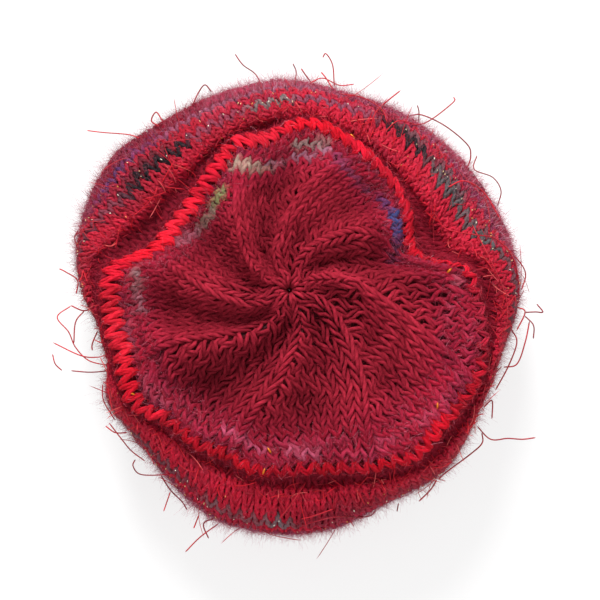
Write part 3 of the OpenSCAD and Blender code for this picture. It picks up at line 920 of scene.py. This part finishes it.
def hair(points, rad=0.27, col=(168, 30, 46), n=None, dark=0.0, over=3.2):
    """points: (x mm, y mm) or (x, y, extra height) of a hair laid over the fabric or standing off its edge."""
    P = []
    for q in points:
        x, y = q[0] * 0.985, q[1] * 0.985
        P.append((x, y, top_z(x, y, over) + (q[2] if len(q) > 2 else 0)))
    line = curve(P, n or max(10, 7 * len(P)))
    up = np.tile([0.13, 0.21, 1.0], (len(line), 1))
    c = np.ones((len(line), 1)) * lin(col)
    c = c * (1 + 0.15 * np.sin(np.linspace(0, 9, len(line))))[:, None]
    c = mix(c, lin((96, 40, 62)), np.full(len(line), dark))
    sweep(bag_hair, line, up, rad, c, sides=4, closed=False)


HAIRS = [
    [(-15, 118), (-20, 132, 2), (-28, 138, 4), (-33, 145, 3)],
    [(-90, 93), (-97, 96, 2), (-112, 97, 4), (-122, 98.5, 2)],
    [(-78, 100), (-83, 104, 4), (-80, 109, 6), (-76, 103, 2)],
    [(-58, 113), (-55, 121, 3), (-51, 126, 3), (-47, 122, 1)],
    [(-127, 28), (-129, 34, 2), (-127, 38, 2)],
    [(-128, 0), (-127, 8, 3), (-134, 13, 4), (-138, 15, 3)],
    [(3, 124), (4, 134, 2), (2, 139, 3)],
    [(13, 128), (9, 133, 3), (7, 136, 3)],
    [(27, 125), (26, 138, 3), (22, 145, 3), (20, 143, 2)],
    [(26, 123), (22, 130, 4), (19, 134, 3)],
    [(12, 126), (20, 130, 4), (30, 126, 3), (39, 127, 1)],
    [(48, 97), (51, 106, 3), (57, 114, 4), (67, 123, 3)],
    [(56, 94), (65, 102, 2), (80, 102, 3), (98, 115, 4), (99, 119, 3)],
    [(72, 108), (80, 108, 3), (94, 101, 4), (107, 90, 3), (109, 83, 2), (107, 76, 0)],
    [(78, 104), (78, 110, 2), (77, 114, 3)],
    [(125, 53), (127, 62, 3), (122, 70, 4), (111, 75, 3), (113, 84, 0)],
    [(86, 46), (93, 37, 2), (110, 33, 4), (122, 31, 4), (133, 20, 3), (138, 3, 1)],
    [(128, 28), (141, 14, 3), (139, 2, 2)],
    [(-131, -7), (-139, -14, 3), (-132, -23, 4), (-128, -32, 3), (-120, -40, 2), (-108, -43, 0)],
    [(-119, -9), (-124, -10, 2), (-131, -7, 2)],
    [(-123, -10), (-128, -17, 3), (-129, -30, 3)],
    [(-115, -22), (-118, -30, 2), (-118, -34, 2)],
    [(-142, -29), (-125, -37, 3), (-115, -38, 2), (-108, -37, 0)],
    [(-142, -36), (-140, -42, 3), (-136, -46, 2)],
    [(-131, -46), (-119, -47, 3), (-108, -46, 0)],
    [(-112, -54), (-111, -64, 3), (-104, -76, 1)],
    [(-110, -79), (-104, -83, 2), (-97, -83, 0)],
    [(-108, -77), (-100, -87, 3), (-94, -94, 3), (-86, -100, 1)],
    [(-92, -99), (-93, -103, 3), (-88, -108, 3), (-70, -108, 1)],
    [(-77, -108), (-71, -117, 3), (-64, -124, 3), (-61, -129, 1)],
    [(-71, -118), (-75, -130, 2)],
    [(-54, -132), (-57, -140, 2)],
    [(-45, -134), (-50, -136, 3), (-51, -139, 3), (-48, -146, 1)],
    [(-42, -137), (-53, -145, 3), (-62, -154, 2)],
    [(136, -8), (141, -11, 3), (136, -22, 2)],
    [(141, -11), (147, -11, 4), (151.5, -11, 4), (148, -6, 2)],
    [(141, -13), (146, -19, 3), (146, -27, 2)],
    [(133, -21), (136, -29, 3), (131, -43, 3), (123, -58, 1)],
    [(144, -16), (141, -29, 3), (136, -42, 3), (128, -44, 1)],
    [(116, -68), (121, -64, 2), (121, -75, 1)],
    [(112, -79), (120, -87, 3), (130, -86.5, 4), (139, -87, 3), (147, -86, 1)],
    [(115, -83), (115, -89, 3), (109, -95, 3), (93, -107, 2), (89, -111, 0)],
    [(88, -111), (84, -117, 3), (77, -124, 1)],
    [(65, -125), (64, -130, 1)],
    [(7, -134), (15, -132, 1), (26, -128, 0)],
    [(7, -138), (26, -133, 1), (46, -133, 1), (52, -129, 0)],
    [(-89, 47), (-80, 56, 2), (-78, 62, 1)],
    [(-100, 40), (-103, 26, 2)],
    [(-6, -134), (2, -124, 2), (10, -112, 1)],
    [(30, 119), (44, 117, 2), (55, 109, 2), (58, 101, 0)],
    [(108, 40), (118, 18, 3), (127, -2, 3), (129, -18, 1)],
    [(94, 62), (104, 66, 2), (116, 60, 2), (126, 44, 1)],
]
for i, h in enumerate(HAIRS):
    tone = rng.random()
    col = (172, 14, 34) if tone < 0.5 else ((140, 14, 34) if tone < 0.8 else (196, 24, 40))
    hair(h, rad=0.34 + 0.08 * rng.random(), col=col, dark=0.08 * rng.random())


def eyelash_root(n, vlo, vhi):
    v = vlo + (vhi - vlo) * rng.random(n)
    u = rng.random(n)
    p, nn = surf(v, u)
    return p, nn


# short red and dark hairs of the eyelash yarn along the inner edge of its band, and a few on its outside
p, nn = eyelash_root(470, ROW0["eyelash_band"] - 0.3, ROW0["eyelash_band"] + 1.6)
for k in range(len(p)):
    t1 = rng.normal(0, 1, 3)
    t1 -= t1.dot(nn[k]) * nn[k]
    t1 /= np.linalg.norm(t1)
    L = 4 + 9 * rng.random()
    bend = rng.normal(0, 0.5, 3)
    s = np.linspace(0, 1, 7)[:, None]
    line = p[k] + nn[k] * 2.3 + L * (s * (t1 + 0.25 * nn[k]) + s**2 * (bend * 0.8 - 0.2 * nn[k]))
    tone = rng.random()
    c = lin((196, 20, 38)) if tone < 0.6 else (lin((160, 24, 42)) if tone < 0.88 else lin((216, 84, 84)))
    sweep(bag_hair, line, np.tile([0.1, 0.3, 1.0], (7, 1)), 0.19 + 0.12 * rng.random(), np.ones((7, 1)) * c, sides=4, closed=False)
p, nn = eyelash_root(120, ROW0["eyelash_band"] + 0.5, ROW0["rim_mohair_band"] + 1)
for k in range(len(p)):
    t1 = rng.normal(0, 1, 3)
    t1 -= t1.dot(nn[k]) * nn[k]
    t1 /= np.linalg.norm(t1)
    L = 5 + 12 * rng.random()
    s = np.linspace(0, 1, 9)[:, None]
    line = p[k] + nn[k] * 2.4 + L * (s * (t1 + 0.35 * nn[k]) + s**2 * (rng.normal(0, 0.45, 3) - 0.3 * nn[k]))
    sweep(bag_hair, line, np.tile([0.1, 0.3, 1.0], (9, 1)), 0.16 + 0.08 * rng.random(), np.ones((9, 1)) * lin((178, 30, 48)), sides=4, closed=False)
MADE["eyelash_filaments"] = bag_hair.make("eyelash_filaments_hairs")

# ------------------------------------------------------------------ metallic flecks
bag = Bag()


def fleck(p, t, nn, ln, wd, col):
    s = np.linspace(-1, 1, 5)[:, None]
    line = p + t * s * ln / 2 + nn * (0.18 * (1 - s**2))
    sweep(bag, line, np.tile(nn, (5, 1)), wd / 2 * np.array([0.3, 0.9, 1, 0.9, 0.3]), np.ones((5, 1)) * col, sides=4, closed=False)


for band, every, cols_ in (("variegated_stripe", 0.62, [(236, 226, 206), (220, 200, 160)]), ("flecked_crimson_band", 0.30, [(226, 170, 80), (236, 206, 150)]),
                           ("eyelash_band", 0.05, [(226, 170, 90)]), ("heather_band", 0.10, [(220, 190, 150)])):
    for v, u, pp, n2, z, ph, kk, N in spine[band]:
        for k in range(N):
            if rng.random() > every:
                continue
            i0 = np.searchsorted(kk, k)
            i1 = min(i0 + int(len(v) / N * (0.25 if rng.random() < 0.5 else 0.75)) + rng.integers(-1, 2), len(v) - 2)
            t = pp[i1 + 1] - pp[i1]
            t /= np.linalg.norm(t)
            c = lin(cols_[rng.integers(len(cols_))])
            fleck(pp[i1] + n2[i1] * 1.45, t, n2[i1], 0.9 + 0.9 * rng.random(), 0.5 + 0.25 * rng.random(), c)
# the few gold and orange neps of the mauve and red rounds
for x, y in ((35, 88), (-11.5, -92.5), (-14.5, -103), (-90, -59), (85, -66.5), (92.5, 11.5)):
    a = math.degrees(math.atan2(y, x)) % 360
    r = math.hypot(x, y)
    d = np.hypot(PU[:, :, 0] - x, PU[:, :, 1] - y) + (NG[:, :, 2] < 0.1) * 50
    i, j = np.unravel_index(np.argmin(d), d.shape)
    fleck(PU[i, j] + NG[i, j] * 2.9, np.array([math.cos(a), math.sin(a), 0]), NG[i, j], 4.2, 1.5, lin((214, 120, 30)))
MADE["flecks"] = bag.make("metallic_flecks")

# ------------------------------------------------------------------ materials
def new_mat(name):
    m = bpy.data.materials.new(name)
    m.use_nodes = True
    nt = m.node_tree
    for n in list(nt.nodes):
        nt.nodes.remove(n)
    out = nt.nodes.new("ShaderNodeOutputMaterial")
    bs = nt.nodes.new("ShaderNodeBsdfPrincipled")
    nt.links.new(bs.outputs[0], out.inputs[0])
    return m, nt, bs


def math_node(nt, op, a, b=None, c=None):
    n = nt.nodes.new("ShaderNodeMath")
    n.operation = op
    for k, x in enumerate((a, b, c)):
        if x is None:
            continue
        if isinstance(x, (int, float)):
            n.inputs[k].default_value = x
        else:
            nt.links.new(x, n.inputs[k])
    return n.outputs[0]


def yarn_mat(name, pink_streak_and_highlight=None, pink_streak_and_highlight_amount=0.0, rough=0.85, sheen=0.35, spec=0.25, ply=2, pitch=2.6, ply_bump=0.5, fibre=0.35, speck=0.16, sheen_tint=(1, 0.75, 0.8)):
    m, nt, bs = new_mat(name)
    L = nt.links
    at = nt.nodes.new("ShaderNodeAttribute"); at.attribute_name = "col"
    ya = nt.nodes.new("ShaderNodeAttribute"); ya.attribute_name = "yarn"
    sep = nt.nodes.new("ShaderNodeSeparateXYZ"); L.new(ya.outputs["Vector"], sep.inputs[0])
    ang = math_node(nt, "ARCTAN2", sep.outputs[1], sep.outputs[0])
    turn = math_node(nt, "MULTIPLY", sep.outputs[2], TAU / pitch)
    wave_in = math_node(nt, "ADD", math_node(nt, "MULTIPLY", ang, ply), turn)
    wave = math_node(nt, "SINE", wave_in)
    fine = math_node(nt, "SINE", math_node(nt, "ADD", math_node(nt, "MULTIPLY", ang, ply * 5), math_node(nt, "MULTIPLY", turn, 3.0)))
    tc = nt.nodes.new("ShaderNodeTexCoord")
    # fibres run along the yarn and turn with its twist
    turned = math_node(nt, "ADD", ang, math_node(nt, "MULTIPLY", turn, 0.5))
    cx = nt.nodes.new("ShaderNodeCombineXYZ")
    L.new(math_node(nt, "MULTIPLY", math_node(nt, "COSINE", turned), 1.6), cx.inputs[0])
    L.new(math_node(nt, "MULTIPLY", math_node(nt, "SINE", turned), 1.6), cx.inputs[1])
    L.new(math_node(nt, "MULTIPLY", sep.outputs[2], 0.42), cx.inputs[2])
    nz = nt.nodes.new("ShaderNodeTexNoise"); nz.inputs["Scale"].default_value = 1.9; nz.inputs["Detail"].default_value = 4; nz.inputs["Roughness"].default_value = 0.7
    L.new(cx.outputs[0], nz.inputs["Vector"])
    nz2 = nt.nodes.new("ShaderNodeTexNoise"); nz2.inputs["Scale"].default_value = 420; nz2.inputs["Detail"].default_value = 2
    L.new(tc.outputs["Object"], nz2.inputs["Vector"])
    # tone: fibres and a slow unevenness, and painted shade on the plies, darker in the grooves where the same ply waves
    # lower the bump
    tone = math_node(nt, "ADD", math_node(nt, "MULTIPLY", math_node(nt, "SUBTRACT", nz.outputs["Fac"], 0.5), speck * 2.2),
                     math_node(nt, "MULTIPLY", math_node(nt, "SUBTRACT", nz2.outputs["Fac"], 0.5), speck * 1.6))
    tone = math_node(nt, "ADD", tone, math_node(nt, "MULTIPLY", wave, 0.10 * ply_bump))
    tone = math_node(nt, "ADD", tone, math_node(nt, "MULTIPLY", fine, 0.05))
    tone = math_node(nt, "ADD", tone, 1.0)
    vm = nt.nodes.new("ShaderNodeVectorMath"); vm.operation = "SCALE"
    L.new(at.outputs["Color"], vm.inputs[0]); L.new(tone, vm.inputs["Scale"])
    base = vm.outputs[0]
    # pink streaks along the yarn: the heather yarn's own pink fibres, and on the glossy plied yarn a painted highlight
    if pink_streak_and_highlight is not None:
        cs = nt.nodes.new("ShaderNodeCombineXYZ")
        L.new(math_node(nt, "MULTIPLY", sep.outputs[0], 1.1), cs.inputs[0])
        L.new(math_node(nt, "MULTIPLY", sep.outputs[1], 1.1), cs.inputs[1])
        L.new(math_node(nt, "MULTIPLY", sep.outputs[2], 0.22), cs.inputs[2])
        ns = nt.nodes.new("ShaderNodeTexNoise"); ns.inputs["Scale"].default_value = 2.2; ns.inputs["Detail"].default_value = 3
        L.new(cs.outputs[0], ns.inputs["Vector"])
        ramp = nt.nodes.new("ShaderNodeMapRange")
        ramp.inputs["From Min"].default_value = 0.54
        ramp.inputs["From Max"].default_value = 0.68
        ramp.inputs["To Max"].default_value = pink_streak_and_highlight_amount
        L.new(ns.outputs["Fac"], ramp.inputs["Value"])
        mx = nt.nodes.new("ShaderNodeMix"); mx.data_type = "RGBA"
        L.new(ramp.outputs["Result"], mx.inputs["Factor"])
        L.new(base, mx.inputs["A"])
        mx.inputs["B"].default_value = (*lin(pink_streak_and_highlight), 1)
        L.new(mx.outputs["Result"], bs.inputs["Base Color"])
    else:
        L.new(base, bs.inputs["Base Color"])
    h = math_node(nt, "ADD", math_node(nt, "MULTIPLY", wave, ply_bump), math_node(nt, "MULTIPLY", fine, 0.18))
    h = math_node(nt, "ADD", h, math_node(nt, "MULTIPLY", nz.outputs["Fac"], fibre * 2))
    bp_ = nt.nodes.new("ShaderNodeBump"); bp_.inputs["Strength"].default_value = 0.8; bp_.inputs["Distance"].default_value = 0.00035
    L.new(h, bp_.inputs["Height"]); L.new(bp_.outputs[0], bs.inputs["Normal"])
    bs.inputs["Roughness"].default_value = rough
    bs.inputs["Specular IOR Level"].default_value = spec
    bs.inputs["Sheen Weight"].default_value = sheen
    bs.inputs["Sheen Roughness"].default_value = 0.45
    bs.inputs["Sheen Tint"].default_value = (*sheen_tint, 1)
    return m


def fibre_mat(name, rough=0.8, sheen=0.0, spec=0.05):
    m, nt, bs = new_mat(name)
    at = nt.nodes.new("ShaderNodeAttribute"); at.attribute_name = "col"
    tc = nt.nodes.new("ShaderNodeTexCoord")
    nz = nt.nodes.new("ShaderNodeTexNoise"); nz.inputs["Scale"].default_value = 600
    nt.links.new(tc.outputs["Object"], nz.inputs["Vector"])
    tone = math_node(nt, "ADD", math_node(nt, "MULTIPLY", math_node(nt, "SUBTRACT", nz.outputs["Fac"], 0.5), 0.35), 1.0)
    vm = nt.nodes.new("ShaderNodeVectorMath"); vm.operation = "SCALE"
    nt.links.new(at.outputs["Color"], vm.inputs[0]); nt.links.new(tone, vm.inputs["Scale"])
    nt.links.new(vm.outputs[0], bs.inputs["Base Color"])
    bs.inputs["Roughness"].default_value = rough
    bs.inputs["Specular IOR Level"].default_value = spec
    bs.inputs["Sheen Weight"].default_value = sheen
    return m


wool = yarn_mat("wool_yarn", rough=0.95, sheen=0.0, spec=0.03, ply=3, pitch=5.2, ply_bump=0.6, fibre=0.9, speck=0.52)
mohair = yarn_mat("mohair_yarn", rough=0.95, sheen=0.03, spec=0.05, ply=2, pitch=6.0, ply_bump=0.2, fibre=0.7, speck=0.30)
heather_m = yarn_mat("heather_yarn", pink_streak_and_highlight=(196, 76, 104), pink_streak_and_highlight_amount=0.38, rough=0.9, sheen=0.02, spec=0.06, ply=2, pitch=5.0, ply_bump=0.5, fibre=0.9, speck=0.50)
# painted highlight: the pale pink streaks on the glossy crimson yarn
glossy = yarn_mat("glossy_plied_yarn", pink_streak_and_highlight=(206, 70, 100), pink_streak_and_highlight_amount=0.3, rough=0.6, sheen=0.0, spec=0.22, ply=3, pitch=2.4, ply_bump=0.5, fibre=0.25, speck=0.18)
red_m = yarn_mat("bright_red_yarn", rough=0.8, sheen=0.0, spec=0.08, ply=3, pitch=4.5, ply_bump=0.45, fibre=0.4, speck=0.14)
back_m = yarn_mat("fabric_inside", rough=0.95, sheen=0.2, spec=0.1, ply=1, pitch=50, ply_bump=0.0, fibre=0.6, speck=0.25)
fib = fibre_mat("fibre")
hair_m = fibre_mat("eyelash_hair", rough=0.5, sheen=0.0, spec=0.25)
metal_m, nt_, bs_ = new_mat("metallic_thread")
at_ = nt_.nodes.new("ShaderNodeAttribute"); at_.attribute_name = "col"
nt_.links.new(at_.outputs["Color"], bs_.inputs["Base Color"])
bs_.inputs["Metallic"].default_value = 0.6
bs_.inputs["Roughness"].default_value = 0.32

MAT = {
    "crown_swirl": wool, "mauve_band": heather_m, "bright_red_band": red_m, "valley_mohair_band": mohair, "eyelash_band": glossy,
    "variegated_stripe": glossy, "flecked_crimson_band": glossy, "heather_band": heather_m, "rim_mohair_band": mohair,
    "underside_crimson_band": wool, "underside_mauve_band": heather_m, "increase_round_band": wool, "brim_rib_band": wool,
    "cast_on_edge": wool, "crown_closing_ring": wool, "woven_in_ends": wool, "eyelash_filaments": hair_m, "flecks": metal_m,
    "fuzz_valley": fib, "fuzz_rim": fib, "fuzz_bands": fib, "fuzz_mauve": fib, "fuzz_crown": fib, "fuzz_under": fib, "halo": fib,
}
for k, o in MADE.items():
    o.data.materials.append(MAT[k])
fabric.data.materials.append(back_m)

# ------------------------------------------------------------------ frame
NODES = set(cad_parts)
for k, o in MADE.items():
    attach(o, "root")
    if k in NODES:
        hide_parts(k)
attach(fabric, "root")

# ------------------------------------------------------------------ stage, lights, camera
floor_me = bpy.data.meshes.new("floor")
S = 6.0
floor_me.from_pydata([(-S, -S, -0.0005), (S, -S, -0.0005), (S, S, -0.0005), (-S, S, -0.0005)], [], [(0, 1, 2, 3)])
floor = bpy.data.objects.new("floor", floor_me)
bpy.context.scene.collection.objects.link(floor)
fm, fnt, fbs = new_mat("floor_paper")
fbs.inputs["Base Color"].default_value = (0.30, 0.30, 0.30, 1)
fbs.inputs["Roughness"].default_value = 0.9
fbs.inputs["Emission Color"].default_value = (1, 1, 1, 1)
fbs.inputs["Emission Strength"].default_value = 0.69
floor_me.materials.append(fm)

world = bpy.data.worlds.new("world")
bpy.context.scene.world = world
world.use_nodes = True
world.node_tree.nodes["Background"].inputs[0].default_value = (1, 1, 1, 1)
world.node_tree.nodes["Background"].inputs[1].default_value = 0.56


def area(name, loc, size, power, target=(0, 0, 0.05)):
    li = bpy.data.lights.new(name, "AREA")
    li.shape = "DISK"
    li.size = size
    li.energy = power
    o = bpy.data.objects.new(name, li)
    o.location = loc
    o.rotation_mode = "QUATERNION"
    o.rotation_quaternion = (Vector(target) - Vector(loc)).to_track_quat("-Z", "Y")
    bpy.context.scene.collection.objects.link(o)


area("key", (-0.25, 1.55, 1.25), 0.8, 54)
area("fill", (0.5, -0.7, 1.8), 1.4, 10)

cam_d = bpy.data.cameras.new("camera")
cam = bpy.data.objects.new("camera", cam_d)
bpy.context.scene.collection.objects.link(cam)
bpy.context.scene.camera = cam
cam_d.lens = 140
cam_d.sensor_width = 36
elev = math.radians(86)
dist = 0.3535 * 140 / 36
aim = Vector((0.0062, -0.0038, 0.050))
back = Vector((0, -math.cos(elev), math.sin(elev)))
cam.location = aim + back * dist
cam.rotation_mode = "QUATERNION"
cam.rotation_quaternion = (-back).to_track_quat("-Z", "Y")
cam_d.clip_end = 50
bpy.context.scene.view_settings.view_transform = "Standard"
